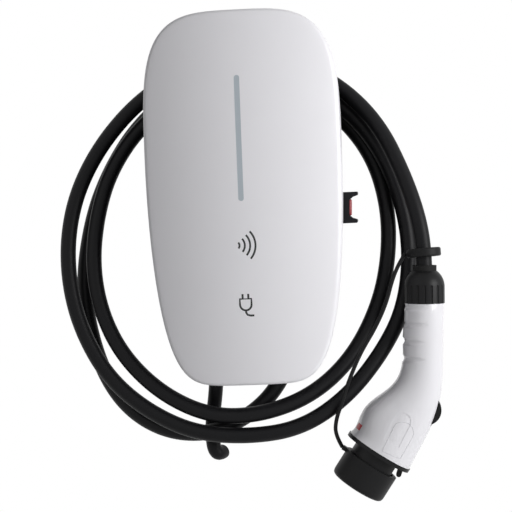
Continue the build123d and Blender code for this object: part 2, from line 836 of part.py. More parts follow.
def lever_bar(growth):
    """Arm of the release lever from the button to the hook, as a flat bar."""
    half = lever_thickness / 2 + growth
    arm = Sketch()
    for start, end in zip(lever_points, lever_points[1:]):
        ends = (Pos(*start) * Circle(half)).edges() + (Pos(*end) * Circle(half)).edges()
        arm += make_hull(ends)
    width = lever_width + 2 * growth
    solid = extrude(Plane.XZ * arm, amount=width, dir=(0, -1, 0))
    return Pos(0, -connector_depth + width / 2, 0) * solid


def lever_slot():
    """Slot through the flange with room for the lever's swing."""
    return lever_bar(1.0) + Pos(2.2, 0, -1.5) * lever_bar(1.0)


def make_release_lever():
    """Thumb button, arm and hook in one piece, with a bore for its pin."""
    button = button_rod(button_radius, button_width)
    x, z = button_centre
    button &= block((x + 1, x + 40), (-connector_depth - 20, -connector_depth + 20), (z - 16.5, z + 15))
    button -= button_rod(button_radius - 7, button_width + 2)
    lever = button + lever_bar(0)
    px, pz = lever_points[1]
    bore = rod((px, -connector_depth - 10, pz), (px, -connector_depth + 10, pz), lever_pin_radius + running_gap)
    return lever - bore


def make_lever_pin():
    """Pin across the connector on which the lever rocks."""
    px, pz = lever_points[1]
    half = lever_pin_length / 2
    return rod((px, -connector_depth - half, pz), (px, -connector_depth + half, pz), lever_pin_radius)


def make_switch_guard():
    """Black block on the right-hand side with two ears that shelter the rocker."""
    inner_x = housing_width / 2 - 12
    low, high = -guard_length / 2, guard_length / 2
    ear = high - guard_ear
    profile = Polyline(
        (inner_x, low), (guard_reach, low), (guard_reach, -ear - 1), (guard_base + guard_flare, -ear + 1),
        (guard_base, -ear + guard_flare), (guard_base, ear - guard_flare), (guard_base + guard_flare, ear - 1),
        (guard_reach, ear + 1), (guard_reach, high), (inner_x, high), (inner_x, low),
    )
    y = -switch_depth + guard_width / 2
    guard = Pos(0, y, switch_height) * extrude(Plane.XZ * make_face(profile), amount=guard_width, dir=(0, -1, 0))
    tips = guard.edges().filter_by(Axis.Y).group_by(Axis.X)[-1]
    guard = fillet(tips, 1.8)
    guard -= shield_slab(rear_inset, hub_depth, rim_depth)
    opening_length = rocker_length / 2 + 1.4
    opening_width = rocker_width / 2 + rocker_gap
    guard -= block(
        (inner_x, guard_base + guard_flare + 1), (-switch_depth - opening_width, -switch_depth + opening_width),
        (switch_height - opening_length, switch_height + opening_length),
    )
    return guard - block(
        (inner_x, guard_base - 2.5),
        (-switch_depth - switch_body_width / 2 - fit_gap, -switch_depth + switch_body_width / 2 + fit_gap),
        (switch_height - switch_body_length / 2 - fit_gap, switch_height + switch_body_length / 2 + fit_gap),
    )


def make_switch_body():
    """Switch body through the side wall, open towards the rocker."""
    front = guard_base - 2.5 - fit_gap
    half_length, half_width = switch_body_length / 2, switch_body_width / 2
    body = block(
        (switch_body_back, front), (-switch_depth - half_width, -switch_depth + half_width),
        (switch_height - half_length, switch_height + half_length),
    )
    cavity_length = rocker_length / 2 + 1.4
    cavity_width = rocker_width / 2 + rocker_gap
    body -= block(
        (rocker_pivot_x - 9, front + 1), (-switch_depth - cavity_width, -switch_depth + cavity_width),
        (switch_height - cavity_length, switch_height + cavity_length),
    )
    return body - rocker_axle(rocker_pin_radius, switch_body_width - 2)


def rocker_axle(radius, length):
    """Rod on the rocker's axis."""
    y = -switch_depth
    start = (rocker_pivot_x, y - length / 2, switch_height)
    return rod(start, (rocker_pivot_x, y + length / 2, switch_height), radius)


def make_switch_rocker():
    """Red rocker with a shallow hollow face, tipped to one end of its swing."""
    half = rocker_length / 2
    depth = rocker_top - rocker_pivot_x
    face = ThreePointArc((depth - 0.6, -half), (depth - 1.6, 0), (depth - 0.6, half))
    sides = Polyline(
        (depth - 0.6, half), (4, half), (-5, 4), (-5, -4), (4, -half), (depth - 0.6, -half),
    )
    profile = Plane.XZ * make_face([face, sides])
    rocker = Pos(0, rocker_width / 2, 0) * extrude(profile, amount=rocker_width, dir=(0, -1, 0))
    rocker = fillet(rocker.edges().filter_by(Axis.Y).group_by(Axis.X)[-1], 0.8)
    rocker -= rod((0, -20, 0), (0, 20, 0), rocker_pin_radius + running_gap)
    return Pos(rocker_pivot_x, -switch_depth, switch_height) * Rot(0, -rocker_swing, 0) * rocker


def make_switch_terminals():
    """Four blade terminals at the back of the switch."""
    parts = Part()
    for dz in (-10.0, -3.5, 3.5, 10.0):
        z = switch_height + dz
        parts += block(
            (switch_body_back - terminal_length, switch_body_back),
            (-switch_depth - 3.2, -switch_depth + 3.2), (z - 0.4, z + 0.4),
        )
    return parts


def make_main_board():
    """Main circuit board with its capacitors, coils, chips and plug headers."""
    width, height = main_board_size
    near, far = main_board_depth, main_board_depth + board_thickness
    low, high = main_board_height - height / 2, main_board_height + height / 2
    board = block((-width / 2, width / 2), (-far, -near), (low, high))
    for x, z in main_posts:
        board -= rod((x, -near + 1, z), (x, -far - 1, z), board_screw[0] + fit_gap)
    for x, z, radius, tall in ((-55, 118, 8, 26), (-34, 118, 8, 26), (-13, 120, 6, 20), (52, 122, 6, 18)):
        board += rod((x, -far, z), (x, -far - tall, z), radius)
    chips = [(20, 100, 24, 24, 2), (20, 62, 16, 16, 2), (-48, 78, 34, 28, 22), (56, 84, 26, 18, 8)]
    headers = [(-45, low + 8, 44, 9, 11), (12, low + 8, 30, 9, 11), (56, low + 8, 20, 9, 11)]
    for x, z, wide, high_size, tall in chips + headers:
        board += block(
            (x - wide / 2, x + wide / 2), (-far - tall, -far), (z - high_size / 2, z + high_size / 2)
        )
    return board


def make_board_screws():
    """Screws that hold the main board to its posts."""
    parts = Part()
    for x, z in main_posts:
        seat = (x, -main_board_depth - board_thickness, z)
        parts += screw(seat, (0, 1, 0), 8, board_screw)
    return parts


def make_power_relays():
    """Four relays in a row on the main board."""
    far = main_board_depth + board_thickness
    parts = Part()
    for index in range(4):
        x = -54 + index * 36
        relay = block((x - 15, x + 15), (-far - 27, -far), (-4, 36))
        parts += fillet(relay.edges().filter_by(Axis.Y), 1.5)
    return parts


def make_din_rail():
    """Top-hat mounting rail across the lower part of the rear housing."""
    floor_depth = hub_depth + rear_wall
    half, inner = rail_width / 2, 13.5
    z = rail_height
    near, far = floor_depth, floor_depth + rail_rise
    ends = (-rail_length / 2, rail_length / 2)
    rail = block(ends, (-near - rail_thickness, -near), (z - inner, z + inner))
    for side in (1, -1):
        wall = sorted((z + side * inner, z + side * (inner - rail_thickness)))
        lip = sorted((z + side * (inner - rail_thickness), z + side * half))
        rail += block(ends, (-far, -near), wall)
        rail += block(ends, (-far, -far + rail_thickness), lip)
    return rail


def make_terminal_block():
    """Five-pole terminal block clipped to the rail, with its screw wells."""
    rail_front = hub_depth + rear_wall + rail_rise
    z = rail_height
    parts = Part()
    for index in range(5):
        x = -72 + index * 14
        pole = block((x - 6.6, x + 6.6), (-rail_front - 36, -rail_front), (z - 21, z + 21))
        for dz in (-13, 13):
            pole -= rod((x, -rail_front - 37, z + dz), (x, -rail_front - 22, z + dz), 4.0)
            pole -= rod((x, -rail_front - 12, z + dz * 2), (x, -rail_front - 12, z + dz * 0.5), 3.2)
        parts += pole
    return parts


def make_terminal_screws():
    """Clamping screws in the wells of the terminal block."""
    rail_front = hub_depth + rear_wall + rail_rise
    parts = Part()
    for index in range(5):
        x = -72 + index * 14
        for dz in (-13, 13):
            z = rail_height + dz
            head = rod((x, -rail_front - 25, z), (x, -rail_front - 22, z), 3.9)
            slot = block((x - 4, x + 4), (-rail_front - 26, -rail_front - 24), (z - 0.5, z + 0.5))
            parts += head - slot
    return parts


def make_current_sensor():
    """Ring that the charging cable's wires pass through, on a foot on the floor."""
    x, y = gland_spacing / 2, -sensor_depth
    low = chin_height + rear_wall + 20
    high = low + sensor_thickness
    floor = -hub_depth - rear_wall
    foot = block((x - 16, x + 16), (y, floor), (low, high))
    ring = rod((x, y, low), (x, y, high), sensor_radius) + foot
    return ring - rod((x, y, low - 1), (x, y, high + 1), sensor_bore)


def make_network_module():
    """Small radio board standing on the main board, under a metal screen."""
    far = main_board_depth + board_thickness
    board = block((28, 66), (-far - 3, -far - 1.6), (42, 70))
    board += block((32, 56), (-far - 6, -far - 3), (46, 66))
    for x in (32, 62):
        board += block((x - 2, x + 2), (-far - 1.6, -far), (43, 69))
    return board


left_gland = -gland_spacing / 2
right_gland = gland_spacing / 2
nodes = {
    "front_cover": make_front_cover(),
    "light_bar": make_light_bar(),
    "light_board": make_light_board(),
    "reader_board": make_reader_board(),
    "cover_board_screws": make_cover_board_screws(),
    "rear_housing": make_rear_housing(),
    "cover_gasket": make_cover_gasket(),
    "cover_screws": make_cover_screws(),
    "wall_bracket": make_wall_bracket(),
    "cable_hub": make_cable_hub(),
    "hub_screws": make_hub_screws(),
    "lock_screw": make_lock_screw(),
    "main_board": make_main_board(),
    "board_screws": make_board_screws(),
    "power_relays": make_power_relays(),
    "network_module": make_network_module(),
    "mounting_rail": make_din_rail(),
    "terminal_block": make_terminal_block(),
    "terminal_screws": make_terminal_screws(),
    "current_sensor": make_current_sensor(),
    "supply_gland_body": make_gland_body(left_gland, supply_cable_diameter),
    "supply_gland_nut": make_gland_nut(left_gland, supply_cable_diameter),
    "supply_gland_seal": make_gland_seal(left_gland, supply_cable_diameter),
    "charging_gland_body": make_gland_body(right_gland, charging_cable_diameter),
    "charging_gland_nut": make_gland_nut(right_gland, charging_cable_diameter),
    "charging_gland_seal": make_gland_seal(right_gland, charging_cable_diameter),
    "supply_cable": cable("supply_cable", supply_route, supply_cable_diameter),
    "charging_cable": cable("charging_cable", charging_route, charging_cable_diameter),
    "switch_guard": make_switch_guard(),
    "switch_body": make_switch_body(),
    "switch_rocker": make_switch_rocker(),
    "rocker_pin": rocker_axle(rocker_pin_radius, switch_body_width - 2),
    "switch_terminals": make_switch_terminals(),
    "connector_housing": make_connector_housing(),
    "connector_nut": make_connector_nut(),
    "connector_collar": make_connector_collar(),
    "connector_nose": make_connector_nose(),
    "connector_contacts": make_connector_contacts(),
    "red_mark": make_red_mark(),
    "release_lever": make_release_lever(),
    "lever_pin": make_lever_pin(),
    "protective_cap": make_protective_cap(),
    "cap_strap": cable("cap_strap", strap_route, strap_diameter),
    "strap_ring": make_strap_ring(),
}

for name, shape in nodes.items():
    export_step(shape, f"parts/{name}.step")
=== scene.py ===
"""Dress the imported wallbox: domed cover, side switch, wound cable and capped connector."""

from __future__ import annotations

import logging
import math
from dataclasses import dataclass
from enum import Enum
from typing import Callable, ClassVar, Sequence

import bpy
import numpy as np
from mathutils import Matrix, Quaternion, Vector

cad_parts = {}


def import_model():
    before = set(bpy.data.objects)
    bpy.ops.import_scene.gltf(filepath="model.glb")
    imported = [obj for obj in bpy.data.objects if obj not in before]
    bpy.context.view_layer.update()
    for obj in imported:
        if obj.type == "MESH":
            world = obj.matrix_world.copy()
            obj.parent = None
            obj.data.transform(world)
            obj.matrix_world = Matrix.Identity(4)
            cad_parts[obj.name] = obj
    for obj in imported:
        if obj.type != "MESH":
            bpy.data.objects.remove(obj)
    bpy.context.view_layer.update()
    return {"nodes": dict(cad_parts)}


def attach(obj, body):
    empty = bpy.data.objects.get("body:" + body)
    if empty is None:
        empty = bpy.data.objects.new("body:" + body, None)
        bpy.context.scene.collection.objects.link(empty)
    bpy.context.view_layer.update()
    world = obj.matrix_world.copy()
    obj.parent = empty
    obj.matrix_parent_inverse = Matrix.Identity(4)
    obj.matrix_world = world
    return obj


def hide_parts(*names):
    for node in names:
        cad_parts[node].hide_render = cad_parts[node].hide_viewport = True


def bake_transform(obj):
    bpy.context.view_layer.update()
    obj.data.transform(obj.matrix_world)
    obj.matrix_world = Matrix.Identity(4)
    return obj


log = logging.getLogger("wallbox")

MM = 0.001

Point = tuple[float, float, float]
FlatPoint = tuple[float, float]
Colour = tuple[float, float, float]

WHITE = (1.0, 1.0, 1.0, 1.0)
ROCKER_PLACE: Point = (0.1151, -0.066, -0.017)
SWITCH_LEAN = 0.04
CONNECTOR_DEPTH_MM = -84.0

# The routes follow the photograph where the cords show, and are guessed behind the housing.
CHARGING_ROUTE: list[Point] = [
    (0.0420, -0.0640, -0.1580), (0.0420, -0.0640, -0.1850), (0.0331, -0.0650, -0.2115),
    (0.0120, -0.0690, -0.2391), (-0.0183, -0.0750, -0.2599), (-0.0576, -0.0760, -0.2740),
    (-0.1051, -0.0700, -0.2700), (-0.1465, -0.0620, -0.2468), (-0.1758, -0.0540, -0.2084),
    (-0.1940, -0.0460, -0.1559), (-0.2021, -0.0380, -0.0932), (-0.1900, -0.0280, -0.0195),
    (-0.1677, -0.0190, 0.0370), (-0.1314, -0.0120, 0.0916), (-0.0738, -0.0105, 0.1360),
    (-0.0051, -0.0105, 0.1512), (0.0615, -0.0105, 0.1310), (0.1130, -0.0110, 0.0896),
    (0.1474, -0.0145, 0.0411), (0.1625, -0.0240, -0.0175), (0.1615, -0.0340, -0.0761),
    (0.1477, -0.0470, -0.1331), (0.1161, -0.0640, -0.1902), (0.0701, -0.0820, -0.2306),
    (0.0120, -0.0940, -0.2508), (-0.0476, -0.0950, -0.2518), (-0.1041, -0.0900, -0.2256),
    (-0.1496, -0.0800, -0.1821), (-0.1758, -0.0710, -0.1306), (-0.1859, -0.0610, -0.0720),
    (-0.1788, -0.0500, -0.0114), (-0.1617, -0.0390, 0.0401), (-0.1263, -0.0300, 0.0896),
    (-0.0698, -0.0285, 0.1290), (-0.0021, -0.0285, 0.1481), (0.0646, -0.0285, 0.1350),
    (0.1211, -0.0270, 0.0976), (0.1585, -0.0285, 0.0461), (0.1797, -0.0340, -0.0145),
    (0.1868, -0.0420, -0.0730), (0.1772, -0.0550, -0.1367), (0.1499, -0.0700, -0.1862),
    (0.1075, -0.0850, -0.2352), (0.0545, -0.0940, -0.2680), (-0.0061, -0.0950, -0.2761),
    (-0.0700, -0.0940, -0.2698), (-0.1268, -0.0880, -0.2418), (-0.1716, -0.0800, -0.2014),
    (-0.2008, -0.0720, -0.1470), (-0.2142, -0.0640, -0.0922), (-0.2145, -0.0560, -0.0357),
    (-0.2007, -0.0490, 0.0189), (-0.1698, -0.0430, 0.0724), (-0.1243, -0.0380, 0.1199),
    (-0.0667, -0.0370, 0.1532), (-0.0011, -0.0370, 0.1673), (0.0625, -0.0370, 0.1542),
    (0.1161, -0.0380, 0.1226), (0.1567, -0.0480, 0.0770), (0.1830, -0.0660, 0.0173),
    (0.1984, -0.0805, -0.0340), (0.2027, -0.0840, -0.0760), (0.2017, -0.0840, -0.1040),
]

SUPPLY_ROUTE: list[Point] = [
    (-0.042, -0.064, -0.158), (-0.042, -0.064, -0.186), (-0.045, -0.062, -0.210),
    (-0.048, -0.057, -0.234), (-0.0525, -0.052, -0.257), (-0.0535, -0.053, -0.279),
    (-0.052, -0.056, -0.2935), (-0.047, -0.055, -0.3005), (-0.0425, -0.0455, -0.2985),
]

STRAP_ROUTE: list[Point] = [
    (0.1808, -0.0835, -0.0725), (0.174, -0.086, -0.082), (0.165, -0.089, -0.101),
    (0.1575, -0.092, -0.127), (0.144, -0.094, -0.155), (0.125, -0.097, -0.184),
    (0.1105, -0.100, -0.216), (0.102, -0.101, -0.240), (0.0945, -0.098, -0.259),
    (0.0925, -0.092, -0.277), (0.0998, -0.0848, -0.2922),
]


class Body(Enum):
    """The rigid bodies that a piece may ride on."""

    HOUSING = "housing"
    ROCKER = "rocker"
    LEVER = "lever"
    CAP = "cap"


def deselect() -> None:
    """Leave edit mode and deselect everything."""
    if bpy.context.object and bpy.context.object.mode != "OBJECT":
        bpy.ops.object.mode_set(mode="OBJECT")
    bpy.ops.object.select_all(action="DESELECT")


def pick(piece: bpy.types.Object) -> None:
    """Make one object the only selected and active one.

    Args:
        piece: The object to select.
    """
    deselect()
    piece.select_set(True)
    bpy.context.view_layer.objects.active = piece


def choose_vertices(piece: bpy.types.Object, wanted: Callable[[Vector], bool]) -> None:
    """Select the vertices of a mesh that pass a test, and nothing else.

    Args:
        piece: The mesh object, in object mode.
        wanted: Test of a vertex's place.
    """
    mesh = piece.data
    for face in mesh.polygons:
        face.select = False
    for edge in mesh.edges:
        edge.select = False
    for vertex in mesh.vertices:
        vertex.select = wanted(vertex.co)
    bpy.context.tool_settings.mesh_select_mode = (True, False, False)


def apply_modifiers(piece: bpy.types.Object) -> None:
    """Apply every modifier of a piece in order.

    Args:
        piece: The object whose modifiers become part of its mesh.
    """
    pick(piece)
    for modifier in list(piece.modifiers):
        bpy.ops.object.modifier_apply(modifier=modifier.name)


def linear(red: int, green: int, blue: int) -> Colour:
    """Turn display values from 0 to 255 into linear light.

    Args:
        red: Display red.
        green: Display green.
        blue: Display blue.

    Returns:
        The colour as linear values from 0 to 1.
    """
    def channel(value: int) -> float:
        share = value / 255
        return share / 12.92 if share <= 0.04045 else ((share + 0.055) / 1.055) ** 2.4
    return channel(red), channel(green), channel(blue)


class NodeKit:
    """Short ways to add and join shader nodes in one tree."""

    def __init__(self, tree: bpy.types.NodeTree) -> None:
        """Keep the tree that the nodes go into."""
        self.tree = tree

    def add(self, kind: str, **values: object) -> bpy.types.Node:
        """Add a node and set its properties and inputs.

        Args:
            kind: Blender's name of the node type.
            values: Node properties by name, or inputs by name with spaces as underscores.

        Returns:
            The new node.
        """
        node = self.tree.nodes.new(kind)
        for key, value in values.items():
            if hasattr(node, key):
                setattr(node, key, value)
            else:
                node.inputs[key.replace("_", " ")].default_value = value
        return node

    def join(self, source: bpy.types.NodeSocket, target: bpy.types.NodeSocket) -> None:
        """Link an output to an input."""
        self.tree.links.new(source, target)


class SharedGroups:
    """Shader groups that several finishes use, each built once."""

    _made: ClassVar[dict[str, bpy.types.NodeTree]] = {}

    @classmethod
    def _start(
        cls, name: str, inputs: Sequence[tuple[str, str, object]],
        outputs: Sequence[tuple[str, str]],
    ) -> tuple[NodeKit, bpy.types.Node, bpy.types.Node]:
        """Make a group with named sockets.

        Args:
            name: The group's name.
            inputs: Name, socket type and default of each input.
            outputs: Name and socket type of each output.

        Returns:
            The node kit of the group, its input node and its output node.
        """
        tree = bpy.data.node_groups.new(name, "ShaderNodeTree")
        for label, kind, value in inputs:
            socket = tree.interface.new_socket(name=label, in_out="INPUT", socket_type=kind)
            if value is not None:
                socket.default_value = value
        for label, kind in outputs:
            tree.interface.new_socket(name=label, in_out="OUTPUT", socket_type=kind)
        kit = NodeKit(tree)
        cls._made[name] = tree
        return kit, kit.add("NodeGroupInput"), kit.add("NodeGroupOutput")

    @classmethod
    def moulded_grain(cls) -> bpy.types.NodeTree:
        """Fine pebble of a moulded surface, as a height."""
        if "moulded_grain" in cls._made:
            return cls._made["moulded_grain"]
        kit, start, end = cls._start(
            "moulded_grain",
            [("Vector", "NodeSocketVector", None), ("Scale", "NodeSocketFloat", 1500.0),
             ("Softness", "NodeSocketFloat", 0.5)],
            [("Height", "NodeSocketFloat")],
        )
        fine = kit.add("ShaderNodeTexNoise", Detail=3.0, Roughness=0.6)
        cells = kit.add("ShaderNodeTexVoronoi", feature="SMOOTH_F1")
        blend = kit.add("ShaderNodeMix", data_type="FLOAT")
        kit.join(start.outputs["Vector"], fine.inputs["Vector"])
        kit.join(start.outputs["Scale"], fine.inputs["Scale"])
        kit.join(start.outputs["Vector"], cells.inputs["Vector"])
        kit.join(start.outputs["Scale"], cells.inputs["Scale"])
        kit.join(start.outputs["Softness"], blend.inputs["Factor"])
        kit.join(cells.outputs["Distance"], blend.inputs["A"])
        kit.join(fine.outputs["Fac"], blend.inputs["B"])
        kit.join(blend.outputs["Result"], end.inputs["Height"])
        return kit.tree

    @classmethod
    def uneven_tone(cls) -> bpy.types.NodeTree:
        """Slow change of tone and gloss over a surface."""
        if "uneven_tone" in cls._made:
            return cls._made["uneven_tone"]
        kit, start, end = cls._start(
            "uneven_tone",
            [("Vector", "NodeSocketVector", None), ("Light", "NodeSocketColor", None),
             ("Dark", "NodeSocketColor", None), ("Scale", "NodeSocketFloat", 18.0),
             ("Least Rough", "NodeSocketFloat", 0.3), ("Most Rough", "NodeSocketFloat", 0.4)],
            [("Color", "NodeSocketColor"), ("Roughness", "NodeSocketFloat")],
        )
        slow = kit.add("ShaderNodeTexNoise", Detail=4.0, Roughness=0.55)
        tone = kit.add("ShaderNodeMix", data_type="RGBA")
        gloss = kit.add("ShaderNodeMapRange")
        kit.join(start.outputs["Vector"], slow.inputs["Vector"])
        kit.join(start.outputs["Scale"], slow.inputs["Scale"])
        kit.join(slow.outputs["Fac"], tone.inputs["Factor"])
        kit.join(start.outputs["Dark"], tone.inputs[6])
        kit.join(start.outputs["Light"], tone.inputs[7])
        kit.join(slow.outputs["Fac"], gloss.inputs["Value"])
        kit.join(start.outputs["Least Rough"], gloss.inputs["To Min"])
        kit.join(start.outputs["Most Rough"], gloss.inputs["To Max"])
        kit.join(tone.outputs[2], end.inputs["Color"])
        kit.join(gloss.outputs["Result"], end.inputs["Roughness"])
        return kit.tree


@dataclass(frozen=True)
class Finish:
    """One surface finish of the wallbox.

    The colour wanders between the colour and its shade, the roughness between its two ends.
    """

    name: str
    colour: Colour
    shade: float = 0.93
    least_rough: float = 0.35
    most_rough: float = 0.45
    metallic: float = 0.0
    tone_scale: float = 22.0
    grain_scale: float = 1500.0
    grain_depth: float = 0.00002
    grain_strength: float = 0.25
    coat: float = 0.0
    coat_rough: float = 0.08
    specular: float = 0.5
    stretch: Point = (1.0, 1.0, 1.0)

    def material(self) -> bpy.types.Material:
        """Build the finish as a node material, or return it if it is built.

        Returns:
            The material.
        """
        if self.name in bpy.data.materials:
            return bpy.data.materials[self.name]
        made = bpy.data.materials.new(self.name)
        made.use_nodes = True
        made.diffuse_color = (*self.colour, 1.0)
        kit = NodeKit(made.node_tree)
        shader = made.node_tree.nodes["Principled BSDF"]
        place = kit.add("ShaderNodeTexCoord")
        stretch = kit.add("ShaderNodeMapping", Scale=self.stretch)
        kit.join(place.outputs["Object"], stretch.inputs["Vector"])
        tone = kit.add("ShaderNodeGroup", node_tree=SharedGroups.uneven_tone())
        tone.inputs["Light"].default_value = (*self.colour, 1.0)
        tone.inputs["Dark"].default_value = (*(c * self.shade for c in self.colour), 1.0)
        tone.inputs["Scale"].default_value = self.tone_scale
        tone.inputs["Least Rough"].default_value = self.least_rough
        tone.inputs["Most Rough"].default_value = self.most_rough
        grain = kit.add("ShaderNodeGroup", node_tree=SharedGroups.moulded_grain())
        grain.inputs["Scale"].default_value = self.grain_scale
        bump = kit.add("ShaderNodeBump", Distance=self.grain_depth, Strength=self.grain_strength)
        kit.join(stretch.outputs["Vector"], tone.inputs["Vector"])
        kit.join(stretch.outputs["Vector"], grain.inputs["Vector"])
        kit.join(grain.outputs["Height"], bump.inputs["Height"])
        kit.join(bump.outputs["Normal"], shader.inputs["Normal"])
        kit.join(tone.outputs["Color"], shader.inputs["Base Color"])
        kit.join(tone.outputs["Roughness"], shader.inputs["Roughness"])
        shader.inputs["Metallic"].default_value = self.metallic
        shader.inputs["Coat Weight"].default_value = self.coat
        shader.inputs["Coat Roughness"].default_value = self.coat_rough
        shader.inputs["Specular IOR Level"].default_value = self.specular
        return made


COVER = Finish(
    "cover_paint", linear(239, 238, 242), shade=0.985, least_rough=0.3, most_rough=0.36,
    grain_scale=2600.0, grain_strength=0.08, specular=0.4)
REAR = Finish(
    "rear_grain", (0.03, 0.03, 0.032), least_rough=0.5, most_rough=0.62, grain_strength=0.5,
    specular=0.25)
LENS = Finish(
    "lens_satin", linear(180, 189, 197), shade=0.97, least_rough=0.3, most_rough=0.4,
    grain_strength=0.05)
BOARD = Finish("board_lacquer", (0.02, 0.14, 0.05), least_rough=0.3, most_rough=0.45)
COMPONENT = Finish("component_black", (0.02, 0.02, 0.022), least_rough=0.4, most_rough=0.55)
TERMINAL = Finish("terminal_grey", (0.3, 0.31, 0.32), least_rough=0.45, most_rough=0.55)
STEEL = Finish(
    "zinc_steel", (0.55, 0.56, 0.58), metallic=1.0, least_rough=0.28, most_rough=0.42,
    stretch=(1.0, 1.0, 0.15), grain_strength=0.1)
GLAND = Finish(
    "gland_black", (0.008, 0.008, 0.009), least_rough=0.38, most_rough=0.5, grain_strength=0.3,
    specular=0.14)
SEAL = Finish(
    "seal_rubber", (0.01, 0.01, 0.01), least_rough=0.6, most_rough=0.75, grain_strength=0.3,
    specular=0.14)
JACKET = Finish(
    "cable_jacket", (0.006, 0.006, 0.007), shade=0.8, least_rough=0.42, most_rough=0.5,
    tone_scale=60.0, grain_scale=900.0, grain_strength=0.16, specular=0.14)
SWITCH = Finish(
    "switch_black", (0.01, 0.01, 0.012), least_rough=0.3, most_rough=0.4, grain_strength=0.2,
    specular=0.14)
ROCKER = Finish(
    "rocker_red", (0.3, 0.022, 0.03), least_rough=0.22, most_rough=0.32, grain_strength=0.05)
CONNECTOR = Finish(
    "connector_white", linear(225, 224, 228), shade=0.99, least_rough=0.12, most_rough=0.17,
    grain_scale=2600.0, grain_strength=0.03, coat=0.25, coat_rough=0.05)
NOSE = Finish(
    "nose_black", (0.0075, 0.0075, 0.008), least_rough=0.36, most_rough=0.48,
    grain_strength=0.25, specular=0.16)
CONTACT = Finish(
    "contact_silver", (0.72, 0.69, 0.62), metallic=1.0, least_rough=0.2, most_rough=0.3)
MARK = Finish(
    "mark_red", (0.5, 0.008, 0.016), least_rough=0.25, most_rough=0.35, grain_strength=0.05)
CAP = Finish(
    "cap_rubber", (0.0085, 0.0085, 0.009), least_rough=0.42, most_rough=0.56,
    grain_strength=0.3, specular=0.14)
# Grey of the thin line round the connector's label field: painted shade along the edge of the label
# recess.
FIELD_EDGE_SHADE = Finish(
    "field_line", linear(196, 196, 200), least_rough=0.3, most_rough=0.4, grain_strength=0.05)
PRINT = Finish(
    "print_black", (0.012, 0.012, 0.013), least_rough=0.4, most_rough=0.5, grain_strength=0.05)

NODE_FINISH: dict[str, Finish] = {
    "front_cover": COVER, "light_bar": LENS, "light_board": BOARD, "reader_board": BOARD,
    "cover_board_screws": STEEL, "rear_housing": REAR, "cover_gasket": SEAL, "cover_screws": STEEL,
    "wall_bracket": STEEL, "cable_hub": REAR, "hub_screws": STEEL, "lock_screw": STEEL,
    "main_board": BOARD, "board_screws": STEEL, "power_relays": COMPONENT, "network_module": BOARD,
    "mounting_rail": STEEL, "terminal_block": TERMINAL, "terminal_screws": STEEL,
    "current_sensor": COMPONENT, "supply_gland_body": GLAND, "supply_gland_nut": GLAND,
    "supply_gland_seal": SEAL, "charging_gland_body": GLAND, "charging_gland_nut": GLAND,
    "charging_gland_seal": SEAL, "supply_cable": JACKET, "charging_cable": JACKET,
    "switch_guard": SWITCH, "switch_body": SWITCH, "switch_rocker": ROCKER, "rocker_pin": STEEL,
    "switch_terminals": CONTACT, "connector_housing": CONNECTOR, "connector_nut": NOSE,
    "connector_collar": SEAL, "connector_nose": NOSE, "connector_contacts": CONTACT,
    "red_mark": MARK, "release_lever": NOSE, "lever_pin": STEEL, "protective_cap": CAP,
    "cap_strap": CAP, "strap_ring": CAP,
}


def dress_nodes(nodes: dict[str, bpy.types.Object]) -> None:
    """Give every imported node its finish.

    Args:
        nodes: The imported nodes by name.
    """
    for name, node in nodes.items():
        for slot in node.material_slots:
            slot.material = NODE_FINISH[name].material()


def inside_cover(place: Vector) -> Vector:
    """Draw the rear housing in behind the rim of the cover."""
    share, aside = 0.985, 0.7 * MM
    return Vector((place.x * share + aside, place.y, place.z * share))


def switch_lean(height: float) -> float:
    """Sideways shift that stands the switch upright as the photograph shows it."""
    return SWITCH_LEAN * (height - ROCKER_PLACE[2])


def upright(place: Vector) -> Vector:
    """Thicken the foot of the switch guard and lean it until both ears reach equally far."""
    foot, tip, fuller = 0.117, 0.1284, 0.0019
    across = place.x
    if across > foot - MM:
        across += fuller * (tip - across) / (tip - foot)
    return Vector((across + switch_lean(place.z), place.y, place.z))


def slim_nut(place: Vector) -> Vector:
    """Draw the cable nut in so that the handle stands a little proud of it."""
    axis_x, axis_y, share = 0.2024, -0.084, 0.955
    return Vector((
        axis_x + (place.x - axis_x) * share, axis_y + (place.y - axis_y) * share, place.z))


def deeper_cap(place: Vector) -> Vector:
    """Draw the closed end of the cap a little further out along the connector's nose."""
    start, along = Vector((0.124, -0.084, -0.326)), Vector((-0.5635, 0.0, -0.8261))
    span, deeper = 0.008, 6.0
    share = min(1.0, max(0.0, (place - start).dot(along) / span))
    return place + along * deeper * MM * share


def fuller_handle(place: Vector) -> Vector:
    """Carry the straight part of the handle a little to the left, fading out at the bend."""
    bend, span, fuller = 0.25, 0.045, 1.2
    share = min(1.0, max(0.0, (place.z + bend) / span))
    return Vector((place.x - fuller * MM * share, place.y, place.z))


